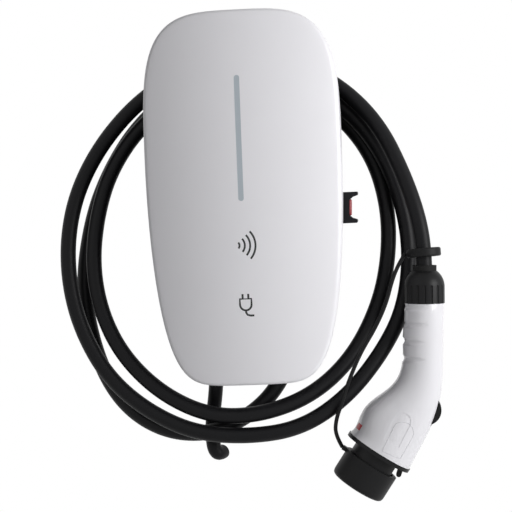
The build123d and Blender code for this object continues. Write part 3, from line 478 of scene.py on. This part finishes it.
@dataclass
class SmoothCopy:
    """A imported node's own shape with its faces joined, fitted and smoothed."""

    node: str
    body: Body
    finish: Finish
    angle: float = 32.0
    fit: Callable[[Vector], Vector] | None = None

    def build(self, nodes: dict[str, bpy.types.Object]) -> bpy.types.Object:
        """Copy the node's mesh, merge its corners and shade it smooth.

        Args:
            nodes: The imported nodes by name.

        Returns:
            The new piece, riding on its body.
        """
        piece = bpy.data.objects.new(f"{self.node}_smooth", nodes[self.node].data.copy())
        bpy.context.scene.collection.objects.link(piece)
        pick(piece)
        bpy.ops.object.mode_set(mode="EDIT")
        bpy.ops.mesh.select_all(action="SELECT")
        bpy.ops.mesh.remove_doubles(threshold=0.002 * MM)
        bpy.ops.mesh.customdata_custom_splitnormals_clear()
        bpy.ops.object.mode_set(mode="OBJECT")
        if self.fit:
            for vertex in piece.data.vertices:
                vertex.co = self.fit(vertex.co)
        bpy.ops.object.shade_smooth_by_angle(angle=math.radians(self.angle))
        piece.data.materials.clear()
        piece.data.materials.append(self.finish.material())
        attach(piece, self.body.value)
        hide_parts(self.node)
        return piece


@dataclass
class HandleDetail:
    """Finger grooves, levelled recess and a grey line of painted shade round the label field on the
    connector.

    Lengths are in millimetres and angles in degrees.
    """

    axis_top: FlatPoint = (199.4, -130.0)
    axis_slope: float = 0.052
    groove_heights: tuple[float, ...] = (-137.6, -156.9, -176.7, -196.2)
    ring_radius: float = 31.8
    ring_tilt: FlatPoint = (-5.0, 3.0)
    groove_radius: float = 5.4
    offset: float = 6.0
    direction: float = 60.0
    recess_centre: FlatPoint = (170.0, -262.0)
    recess_lean: float = 29.0
    recess_width: float = 20.0
    recess_length: float = 28.0
    recess_depth: float = 0.5
    recess_slack: float = 0.1
    body_beside: float = 12.0
    body_below: float = 10.0
    body_front: float = -100.0
    fit_scale: float = 20.0
    fit_terms: int = 5
    edge_weight: int = 4
    line_radius: float = 0.28
    line_steps: int = 8
    field: tuple[FlatPoint, ...] = (
        (146.3, -294.3), (147.2, -292.4), (154.0, -280.0), (160.5, -267.6), (163.8, -263.4),
        (170.4, -262.2), (177.2, -264.4), (181.6, -269.3), (182.8, -276.0), (180.8, -281.4),
        (167.4, -302.6), (166.4, -304.3), (164.6, -303.7), (148.0, -295.2),
    )

    def level_field(self, handle: bpy.types.Object) -> None:
        """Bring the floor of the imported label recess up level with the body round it.

        A smooth surface is fitted to the body beside the recess, then to the recess's edge
        as well, and what lies deeper inside the recess moves onto it.

        Args:
            handle: The connector's white housing.
        """
        turn = math.radians(self.recess_lean)
        inside: list[tuple[bpy.types.MeshVertex, tuple[float, ...], float]] = []
        terms: list[tuple[float, ...]] = []
        depths: list[float] = []
        for vertex in handle.data.vertices:
            x, y, z = (value / MM for value in vertex.co)
            x, z = x - self.recess_centre[0], z - self.recess_centre[1]
            across = x * math.cos(turn) - z * math.sin(turn)
            along = x * math.sin(turn) + z * math.cos(turn)
            beside = math.hypot(across, max(along, 0.0)) - self.recess_width / 2
            below = -self.recess_length - along
            if y > self.body_front or beside > self.body_beside or below > self.body_below:
                continue
            if beside < self.recess_slack and below < self.recess_slack:
                inside.append((vertex, self.powers(across, along), y))
            else:
                terms.append(self.powers(across, along))
                depths.append(y)
        weights = self.fitted(terms, depths)
        for _, place, y in inside:
            if y - float(np.dot(weights, place)) < self.recess_depth / 2:
                terms.extend([place] * self.edge_weight)
                depths.extend([y] * self.edge_weight)
        weights = self.fitted(terms, depths)
        for vertex, place, y in inside:
            level = float(np.dot(weights, place))
            if y - level > self.recess_depth / 3:
                vertex.co.y = level * MM

    def powers(self, across: float, along: float) -> tuple[float, ...]:
        """Terms of a smooth surface of the fourth degree at one place."""
        u, v = across / self.fit_scale, along / self.fit_scale
        return tuple(u**i * v**k for i in range(self.fit_terms) for k in range(self.fit_terms - i))

    @staticmethod
    def fitted(terms: list[tuple[float, ...]], depths: list[float]) -> np.ndarray:
        """Weights of the terms that come nearest to the depths."""
        return np.linalg.lstsq(np.array(terms), np.array(depths), rcond=None)[0]

    def cut_grooves(self, handle: bpy.types.Object) -> None:
        """Cut four grooves that fade out on the front and on the back of the handle.

        Args:
            handle: The connector's white housing.
        """
        rings = []
        turn = math.radians(self.direction)
        for height in self.groove_heights:
            across = self.axis_top[0] + (height - self.axis_top[1]) * self.axis_slope
            deselect()
            bpy.ops.mesh.primitive_torus_add(
                major_segments=96, minor_segments=24, major_radius=self.ring_radius * MM,
                minor_radius=self.groove_radius * MM,
                location=((across + self.offset * math.cos(turn)) * MM,
                          (CONNECTOR_DEPTH_MM + self.offset * math.sin(turn)) * MM, height * MM),
                rotation=(*(math.radians(angle) for angle in self.ring_tilt), 0.0),
            )
            rings.append(bpy.context.object)
            bpy.ops.object.transform_apply()
        for ring in rings:
            cut = handle.modifiers.new("groove", "BOOLEAN")
            cut.object = ring
            cut.solver = "EXACT"
        apply_modifiers(handle)
        for ring in rings:
            bpy.data.objects.remove(ring)
        pick(handle)
        bpy.ops.object.shade_smooth_by_angle(angle=math.radians(28.0))

    def label_field(self, handle: bpy.types.Object) -> bpy.types.Object:
        """Lay a thin grey line round the bare label field on the front, as painted shade along the
        edge of the levelled label recess.

        Args:
            handle: The connector's white housing.

        Returns:
            The line.
        """
        data = bpy.data.curves.new("label_field_painted_shade", "CURVE")
        data.dimensions = "3D"
        data.resolution_u = 6
        data.bevel_depth = self.line_radius * MM
        corners = [Vector(corner) for corner in self.field]
        outline = [start.lerp(end, k / self.line_steps)
                   for start, end in zip(corners, corners[1:] + corners[:1])
                   for k in range(self.line_steps)]
        spline = data.splines.new("NURBS")
        spline.points.add(len(outline) - 1)
        inwards = Vector((0.0, 1.0, 0.0))
        for point, (x, z) in zip(spline.points, outline):
            _, place, _, _ = handle.ray_cast(Vector((x * MM, -0.3, z * MM)), inwards)
            point.co = (*place, 1.0)
        spline.order_u = 3
        spline.use_cyclic_u = True
        # The line's darker grey is painted shade of the recess's edge.
        data.materials.append(FIELD_EDGE_SHADE.material())
        line = bpy.data.objects.new("label_field_painted_shade", data)
        bpy.context.scene.collection.objects.link(line)
        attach(line, Body.HOUSING.value)
        return line


def build_rocker() -> bpy.types.Object:
    """Model the red rocker level in its guard, with bevelled ends.

    Returns:
        The rocker, riding on its own body.
    """
    size, drawn_in = (0.0126, 0.0136, 0.0197), 3.4
    across, _, height = ROCKER_PLACE
    deselect()
    bpy.ops.mesh.primitive_cube_add(size=1.0, location=ROCKER_PLACE, scale=size)
    rocker = bpy.context.object
    bpy.ops.object.transform_apply()
    rocker.name = "rocker_cap"
    for vertex in rocker.data.vertices:
        if vertex.co.x < across:
            vertex.co.z -= drawn_in * MM * math.copysign(1.0, vertex.co.z - height)
    edge = rocker.modifiers.new("edge", "BEVEL")
    edge.width = 2.0 * MM
    edge.segments = 3
    edge.limit_method = "ANGLE"
    apply_modifiers(rocker)
    for vertex in rocker.data.vertices:
        vertex.co.x += switch_lean(vertex.co.z)
    pick(rocker)
    bpy.ops.object.shade_smooth_by_angle(angle=math.radians(30.0))
    rocker.data.materials.append(ROCKER.material())
    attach(rocker, Body.ROCKER.value)
    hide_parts("switch_rocker")
    return rocker


@dataclass
class Cord:
    """A cable or strap along its route."""

    name: str
    route: list[Point]
    diameter: float
    finish: Finish

    def line(self) -> bpy.types.Object:
        """Lay a round curve along the route.

        Returns:
            The curve object.
        """
        data = bpy.data.curves.new(self.name, "CURVE")
        data.dimensions = "3D"
        data.resolution_u = 10
        data.bevel_depth = self.diameter / 2
        data.bevel_resolution = 8
        data.use_fill_caps = True
        spline = data.splines.new("NURBS")
        spline.points.add(len(self.route) - 1)
        for point, place in zip(spline.points, self.route):
            point.co = (*place, 1.0)
        spline.order_u = 3
        spline.use_endpoint_u = True
        data.materials.append(self.finish.material())
        piece = bpy.data.objects.new(self.name, data)
        bpy.context.scene.collection.objects.link(piece)
        return piece

    def centreline(self) -> list[Point]:
        """Points that the curve follows, read from the curve with no bevel.

        Returns:
            The points in order.
        """
        piece = self.line()
        piece.data.bevel_depth = 0.0
        bpy.context.view_layer.update()
        ready = piece.evaluated_get(bpy.context.evaluated_depsgraph_get())
        mesh = bpy.data.meshes.new_from_object(ready)
        points = [tuple(vertex.co) for vertex in mesh.vertices]
        bpy.data.meshes.remove(mesh)
        bpy.data.objects.remove(piece)
        return points


def length_of(points: Sequence[Point]) -> float:
    """Length along a row of points.

    Args:
        points: The points in order.

    Returns:
        The sum of the steps between them.
    """
    return sum((Vector(b) - Vector(a)).length for a, b in zip(points, points[1:]))


@dataclass
class Cables:
    """The charging cable, the supply cable and the cap's strap."""

    charging_diameter: float = 18.2 * MM
    supply_diameter: float = 16.9 * MM
    strap_diameter: float = 4.6 * MM

    def build(self, on_charging: Sequence[bpy.types.Object],
              cap: bpy.types.Object) -> list[bpy.types.Object]:
        """Lay the three cords.

        Args:
            on_charging: The pieces that the charging cable carries; not used.
            cap: The cap that the strap holds; not used.

        Returns:
            The three cords.
        """
        charging = Cord("charging_cable_jacket", CHARGING_ROUTE, self.charging_diameter, JACKET)
        supply = Cord("supply_cable_jacket", SUPPLY_ROUTE, self.supply_diameter, JACKET)
        strap = Cord("cap_strap_cord", STRAP_ROUTE, self.strap_diameter, CAP)
        charging_piece, supply_piece = charging.line(), supply.line()
        for cord, piece, node in ((charging, charging_piece, "charging_cable"),
                                  (supply, supply_piece, "supply_cable")):
            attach(piece, Body.HOUSING.value)
            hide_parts(node)
        length_of(charging.centreline())
        length_of(supply.centreline())
        strap_path = strap.centreline()
        strap_piece = strap.line()
        pick(strap_piece)
        bpy.ops.object.convert(target="MESH")
        strap_piece = bpy.context.object
        strap_piece.name = strap.name
        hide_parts("cap_strap")
        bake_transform(strap_piece)
        return [charging_piece, supply_piece, strap_piece]


@dataclass
class CoverSkin:
    """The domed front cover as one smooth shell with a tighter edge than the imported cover.

    Lengths are in millimetres.
    """

    width: float = 223.8
    centre: float = 1.5
    top: float = 212.0
    bottom: float = 213.4
    widest_height: float = 50.0
    upper_power: float = 3.8
    lower_side_power: float = 5.7
    lower_end_power: float = 1.96
    rim_depth: float = 84.0
    apex_depth: float = 143.0
    roll: float = 4.0
    radius_across: float = 330.0
    radius_along: float = 1700.0
    wall: float = 3.0
    outline_samples: int = 4000
    segments: int = 320
    roll_rings: int = 8
    inner_rings: int = 28
    light_length: float = 141.8
    light_width: float = 6.2
    light_height: float = 66.6

    def outline(self) -> list[tuple[Vector, Vector]]:
        """Even points round the shield outline with their outward normals.

        Returns:
            Pairs of a point and a normal, both in the front view.
        """
        dense: list[Vector] = []
        count = self.outline_samples
        for step in range(count):
            turn = 2 * math.pi * step / count
            across, along = math.cos(turn), math.sin(turn)
            if along >= 0:
                side = end = 2 / self.upper_power
                height = self.top - self.widest_height
            else:
                side, end = 2 / self.lower_side_power, 2 / self.lower_end_power
                height = self.bottom + self.widest_height
            dense.append(Vector((
                self.centre + math.copysign(abs(across) ** side, across) * self.width / 2,
                self.widest_height + math.copysign(abs(along) ** end, along) * height,
            )))
        steps = [(dense[(i + 1) % count] - dense[i]).length for i in range(count)]
        pitch = sum(steps) / self.segments
        even: list[Vector] = []
        walked, index = 0.0, 0
        for k in range(self.segments):
            target = k * pitch
            while walked + steps[index] < target:
                walked += steps[index]
                index += 1
            share = (target - walked) / max(steps[index], 1e-9)
            even.append(dense[index].lerp(dense[(index + 1) % count], share))
        pairs = []
        for k, point in enumerate(even):
            along_edge = (even[(k + 1) % self.segments] - even[k - 1]).normalized()
            pairs.append((point, Vector((along_edge.y, -along_edge.x))))
        return pairs

    def dome(self, x: float, z: float) -> float:
        """Depth of the front before its edge is rolled.

        Args:
            x: Distance to the side.
            z: Height.

        Returns:
            The depth from the wall.
        """
        reach = self.radius_along - self.radius_across + math.sqrt(self.radius_across**2 - x**2)
        return self.apex_depth - self.radius_along + math.sqrt(reach**2 - z**2)

    def ring(self, pairs: Sequence[tuple[Vector, Vector]], level: int) -> list[Point]:
        """Points of one ring, counted from the rim inwards.

        Args:
            pairs: The outline with its normals.
            level: The ring's number.

        Returns:
            The ring's points in millimetres.
        """
        points: list[Point] = []
        for point, normal in pairs:
            if level <= self.roll_rings:
                turn = math.pi / 2 * max(level - 1, 0) / (self.roll_rings - 1)
                place = point - normal * self.roll * (1 - math.cos(turn))
                depth = self.dome(place.x, place.y) - self.roll * (1 - math.sin(turn))
                if level == 0:
                    depth = self.rim_depth
            else:
                share = 1 - (level - self.roll_rings) / (self.inner_rings + 1)
                place = (point - normal * self.roll) * share
                depth = self.dome(place.x, place.y)
            points.append((place.x, -depth, place.y))
        return points

    def slot_cutter(self) -> bpy.types.Object:
        """Bar with round ends that cuts the slot for the light.

        Returns:
            The cutter.
        """
        deselect()
        bpy.ops.mesh.primitive_cylinder_add(
            vertices=32, radius=self.light_width / 2 * MM, depth=0.1,
            location=(0.0, -self.apex_depth * MM, self.light_height * MM),
            rotation=(math.pi / 2, 0.0, 0.0),
        )
        cutter = bpy.context.object
        bpy.ops.object.transform_apply()
        half = (self.light_length - self.light_width) / 2 * MM
        for vertex in cutter.data.vertices:
            vertex.co.z += half if vertex.co.z > self.light_height * MM - 1e-7 else -half
        return cutter

    def build(self) -> bpy.types.Object:
        """Shape the shell, give it its wall and cut the slot for the light.

        Returns:
            The finished cover.
        """
        deselect()
        rings = self.roll_rings + self.inner_rings + 1
        bpy.ops.mesh.primitive_uv_sphere_add(
            segments=self.segments, ring_count=2 * rings, radius=1.0)
        piece = bpy.context.object
        piece.name = "cover_shell"
        choose_vertices(piece, lambda place: place.z < -1e-4)
        bpy.ops.object.mode_set(mode="EDIT")
        bpy.ops.mesh.delete(type="VERT")
        bpy.ops.object.mode_set(mode="OBJECT")
        pairs = self.outline()
        levels = [self.ring(pairs, level) for level in range(rings)]
        for vertex in piece.data.vertices:
            polar = math.acos(max(-1.0, min(1.0, vertex.co.z)))
            level = rings - round(polar * 2 * rings / math.pi)
            if level >= rings:
                vertex.co = (0.0, -self.dome(0.0, 0.0) * MM, 0.0)
                continue
            turn = math.atan2(vertex.co.y, vertex.co.x) % (2 * math.pi)
            index = round(turn / (2 * math.pi) * self.segments) % self.segments
            vertex.co = Vector(levels[level][index]) * MM
        wall = piece.modifiers.new("wall", "SOLIDIFY")
        wall.thickness = self.wall * MM
        wall.offset = -1.0
        cutter = self.slot_cutter()
        slot = piece.modifiers.new("slot", "BOOLEAN")
        slot.object = cutter
        slot.solver = "EXACT"
        apply_modifiers(piece)
        bpy.data.objects.remove(cutter)
        pick(piece)
        bpy.ops.object.shade_smooth_by_angle(angle=math.radians(30.0))
        piece.data.materials.clear()
        piece.data.materials.append(COVER.material())
        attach(piece, Body.HOUSING.value)
        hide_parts("front_cover")
        return piece


def arc(centre: FlatPoint, radius: float, start: float, end: float,
        steps: int = 24) -> list[FlatPoint]:
    """Points along a circular arc.

    Args:
        centre: The arc's centre.
        radius: Its radius.
        start: First angle in degrees, counted from the right.
        end: Last angle in degrees.
        steps: Number of steps.

    Returns:
        The points in order.
    """
    turns = [math.radians(start + (end - start) * k / steps) for k in range(steps + 1)]
    return [(centre[0] + radius * math.cos(t), centre[1] + radius * math.sin(t)) for t in turns]


@dataclass
class CoverSigns:
    """Two plain printed signs on the cover: card reader waves and a plug.

    Lengths are in millimetres, and the strokes are flattened to the share named lift.
    """

    cover: CoverSkin
    stroke: float = 1.15
    lift: float = 0.08

    def strokes(self) -> list[list[FlatPoint]]:
        """Lines of both signs as seen from the front, in millimetres.

        Returns:
            One list of points for each line.
        """
        waves = [arc((-9.0, -54.0), radius, -42.0, 42.0) for radius in (5.0, 11.0, 17.0, 23.0)]
        half, top = 6.5, -114.5
        body = arc((0.0, -121.0), half, 180.0, 360.0) + [(half, top), (-half, top), (-half, -121.2)]
        pins = [[(x, top), (x, -109.0)] for x in (-3.2, 3.2)]
        tail = [(0.0, -127.5), (0.0, -130.0), (1.5, -132.6), (5.0, -133.6), (9.0, -133.6)]
        return [*waves, body, *pins, tail]

    def build(self) -> bpy.types.Object:
        """Draw the lines and lay them on the cover.

        Returns:
            The signs as one mesh.
        """
        data = bpy.data.curves.new("cover_signs", "CURVE")
        data.dimensions = "3D"
        data.bevel_depth = self.stroke * MM
        data.bevel_resolution = 3
        data.use_fill_caps = True
        for points in self.strokes():
            spline = data.splines.new("POLY")
            spline.points.add(len(points) - 1)
            for point, (x, z) in zip(spline.points, points):
                point.co = (x * MM, 0.0, z * MM, 1.0)
        signs = bpy.data.objects.new("cover_signs", data)
        bpy.context.scene.collection.objects.link(signs)
        pick(signs)
        bpy.ops.object.convert(target="MESH")
        signs = bpy.context.object
        for vertex in signs.data.vertices:
            surface = -self.cover.dome(vertex.co.x / MM, vertex.co.z / MM) * MM
            vertex.co.y = surface + vertex.co.y * self.lift
        bpy.ops.object.shade_smooth_by_angle(angle=math.radians(40.0))
        signs.data.materials.clear()
        signs.data.materials.append(PRINT.material())
        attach(signs, Body.HOUSING.value)
        return signs


@dataclass
class Studio:
    """Camera, lamps, floor and background."""

    camera_place: Point = (0.1925, -2.270, 0.0)
    camera_target: Point = (0.00805, -0.070, -0.06885)
    frame_width: float = 0.5947
    roll: float = -2.4
    sensor_width: float = 36.0
    lamp_target: Point = (0.0, -0.1, 0.0)
    floor_height: float = -0.75
    world_strength: float = 0.15

    def camera(self) -> None:
        """Set the camera to the photograph's view."""
        place, target = Vector(self.camera_place), Vector(self.camera_target)
        towards = target - place
        data = bpy.data.cameras.new("camera")
        data.sensor_width = self.sensor_width
        data.lens = self.sensor_width * towards.length / self.frame_width
        data.clip_end = 50.0
        camera = bpy.data.objects.new("camera", data)
        bpy.context.scene.collection.objects.link(camera)
        camera.location = place
        turn = towards.to_track_quat("-Z", "Y") @ Quaternion((0, 0, 1), math.radians(self.roll))
        camera.rotation_euler = turn.to_euler()
        bpy.context.scene.camera = camera

    def lamp(self, name: str, place: Point, size: float, power: float) -> None:
        """Add one square area lamp that points at the object.

        Args:
            name: The lamp's name.
            place: Where it stands.
            size: Its side, in metres.
            power: Its power in watts.
        """
        data = bpy.data.lights.new(name, "AREA")
        data.shape = "SQUARE"
        data.size = size
        data.energy = power
        lamp = bpy.data.objects.new(name, data)
        bpy.context.scene.collection.objects.link(lamp)
        lamp.location = place
        towards = Vector(self.lamp_target) - Vector(place)
        lamp.rotation_euler = towards.to_track_quat("-Z", "Y").to_euler()

    def floor(self) -> None:
        """Lay a plain pale floor under the object."""
        deselect()
        bpy.ops.mesh.primitive_plane_add(size=12.0, location=(0.0, 0.0, self.floor_height))
        floor = bpy.context.object
        floor.name = "floor"
        made = bpy.data.materials.new("floor_pale")
        made.use_nodes = True
        kit = NodeKit(made.node_tree)
        shader = made.node_tree.nodes["Principled BSDF"]
        shader.inputs["Base Color"].default_value = (0.8, 0.8, 0.8, 1.0)
        shader.inputs["Roughness"].default_value = 0.9
        path = kit.add("ShaderNodeLightPath")
        white = kit.add("ShaderNodeEmission", Color=WHITE, Strength=1.0)
        mix = kit.add("ShaderNodeMixShader")
        seen = kit.add("ShaderNodeMath", operation="MAXIMUM")
        kit.join(path.outputs["Is Camera Ray"], seen.inputs[0])
        kit.join(path.outputs["Is Glossy Ray"], seen.inputs[1])
        kit.join(seen.outputs["Value"], mix.inputs["Fac"])
        kit.join(shader.outputs["BSDF"], mix.inputs[1])
        kit.join(white.outputs["Emission"], mix.inputs[2])
        kit.join(mix.outputs["Shader"], made.node_tree.nodes["Material Output"].inputs["Surface"])
        floor.data.materials.append(made)

    def world(self) -> None:
        """Soft even light, with a white background where the camera or a reflection sees it."""
        world = bpy.data.worlds.new("studio")
        bpy.context.scene.world = world
        world.use_nodes = True
        kit = NodeKit(world.node_tree)
        light = world.node_tree.nodes["Background"]
        light.inputs["Color"].default_value = WHITE
        light.inputs["Strength"].default_value = self.world_strength
        seen = kit.add("ShaderNodeBackground", Color=WHITE, Strength=1.0)
        path = kit.add("ShaderNodeLightPath")
        any_ray = kit.add("ShaderNodeMath", operation="ADD", use_clamp=True)
        through = kit.add("ShaderNodeMath", operation="ADD")
        kit.join(path.outputs["Is Glossy Ray"], through.inputs[0])
        kit.join(path.outputs["Is Transmission Ray"], through.inputs[1])
        kit.join(path.outputs["Is Camera Ray"], any_ray.inputs[0])
        kit.join(through.outputs["Value"], any_ray.inputs[1])
        mix = kit.add("ShaderNodeMixShader")
        kit.join(any_ray.outputs["Value"], mix.inputs["Fac"])
        kit.join(light.outputs["Background"], mix.inputs[1])
        kit.join(seen.outputs["Background"], mix.inputs[2])
        kit.join(mix.outputs["Shader"], world.node_tree.nodes["World Output"].inputs["Surface"])

    def build(self) -> None:
        """Set up everything round the object."""
        self.camera()
        self.floor()
        self.world()
        self.lamp("key", (2.1, -1.2, 0.4), size=1.3, power=51.0)
        self.lamp("fill", (-1.4, -1.8, 1.0), size=1.6, power=4.0)
        bpy.context.scene.view_settings.view_transform = "Standard"


def main() -> None:
    """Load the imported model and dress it."""
    logging.basicConfig(level=logging.INFO, format="%(message)s")
    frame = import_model()
    deselect()
    nodes = frame["nodes"]
    Studio().build()
    dress_nodes(nodes)
    copies = [
        SmoothCopy("light_bar", Body.HOUSING, LENS),
        SmoothCopy("rear_housing", Body.HOUSING, REAR, fit=inside_cover),
        SmoothCopy("cable_hub", Body.HOUSING, REAR),
        SmoothCopy("switch_guard", Body.HOUSING, SWITCH, fit=upright),
        SmoothCopy("supply_gland_nut", Body.HOUSING, GLAND),
        SmoothCopy("charging_gland_nut", Body.HOUSING, GLAND),
        SmoothCopy("release_lever", Body.LEVER, NOSE),
    ]
    for copy in copies:
        copy.build(nodes)
    build_rocker()
    cover = CoverSkin()
    log.info("cover with %d faces", len(cover.build().data.polygons))
    CoverSigns(cover).build()
    handle = SmoothCopy(
        "connector_housing", Body.HOUSING, CONNECTOR, fit=fuller_handle).build(nodes)
    detail = HandleDetail()
    detail.level_field(handle)
    detail.cut_grooves(handle)
    carried = [
        handle, detail.label_field(handle),
        SmoothCopy("connector_nut", Body.HOUSING, NOSE, fit=slim_nut).build(nodes),
        SmoothCopy("connector_collar", Body.HOUSING, SEAL).build(nodes),
        SmoothCopy("connector_nose", Body.HOUSING, NOSE).build(nodes),
        SmoothCopy("strap_ring", Body.HOUSING, CAP).build(nodes),
        nodes["connector_contacts"], nodes["red_mark"], nodes["lever_pin"],
    ]
    cap = SmoothCopy("protective_cap", Body.CAP, CAP, fit=deeper_cap).build(nodes)
    cords = Cables().build(carried, cap)
    log.info("%d cords laid", len(cords))
    log.info("boxes written")


if __name__ == "__main__":
    main()
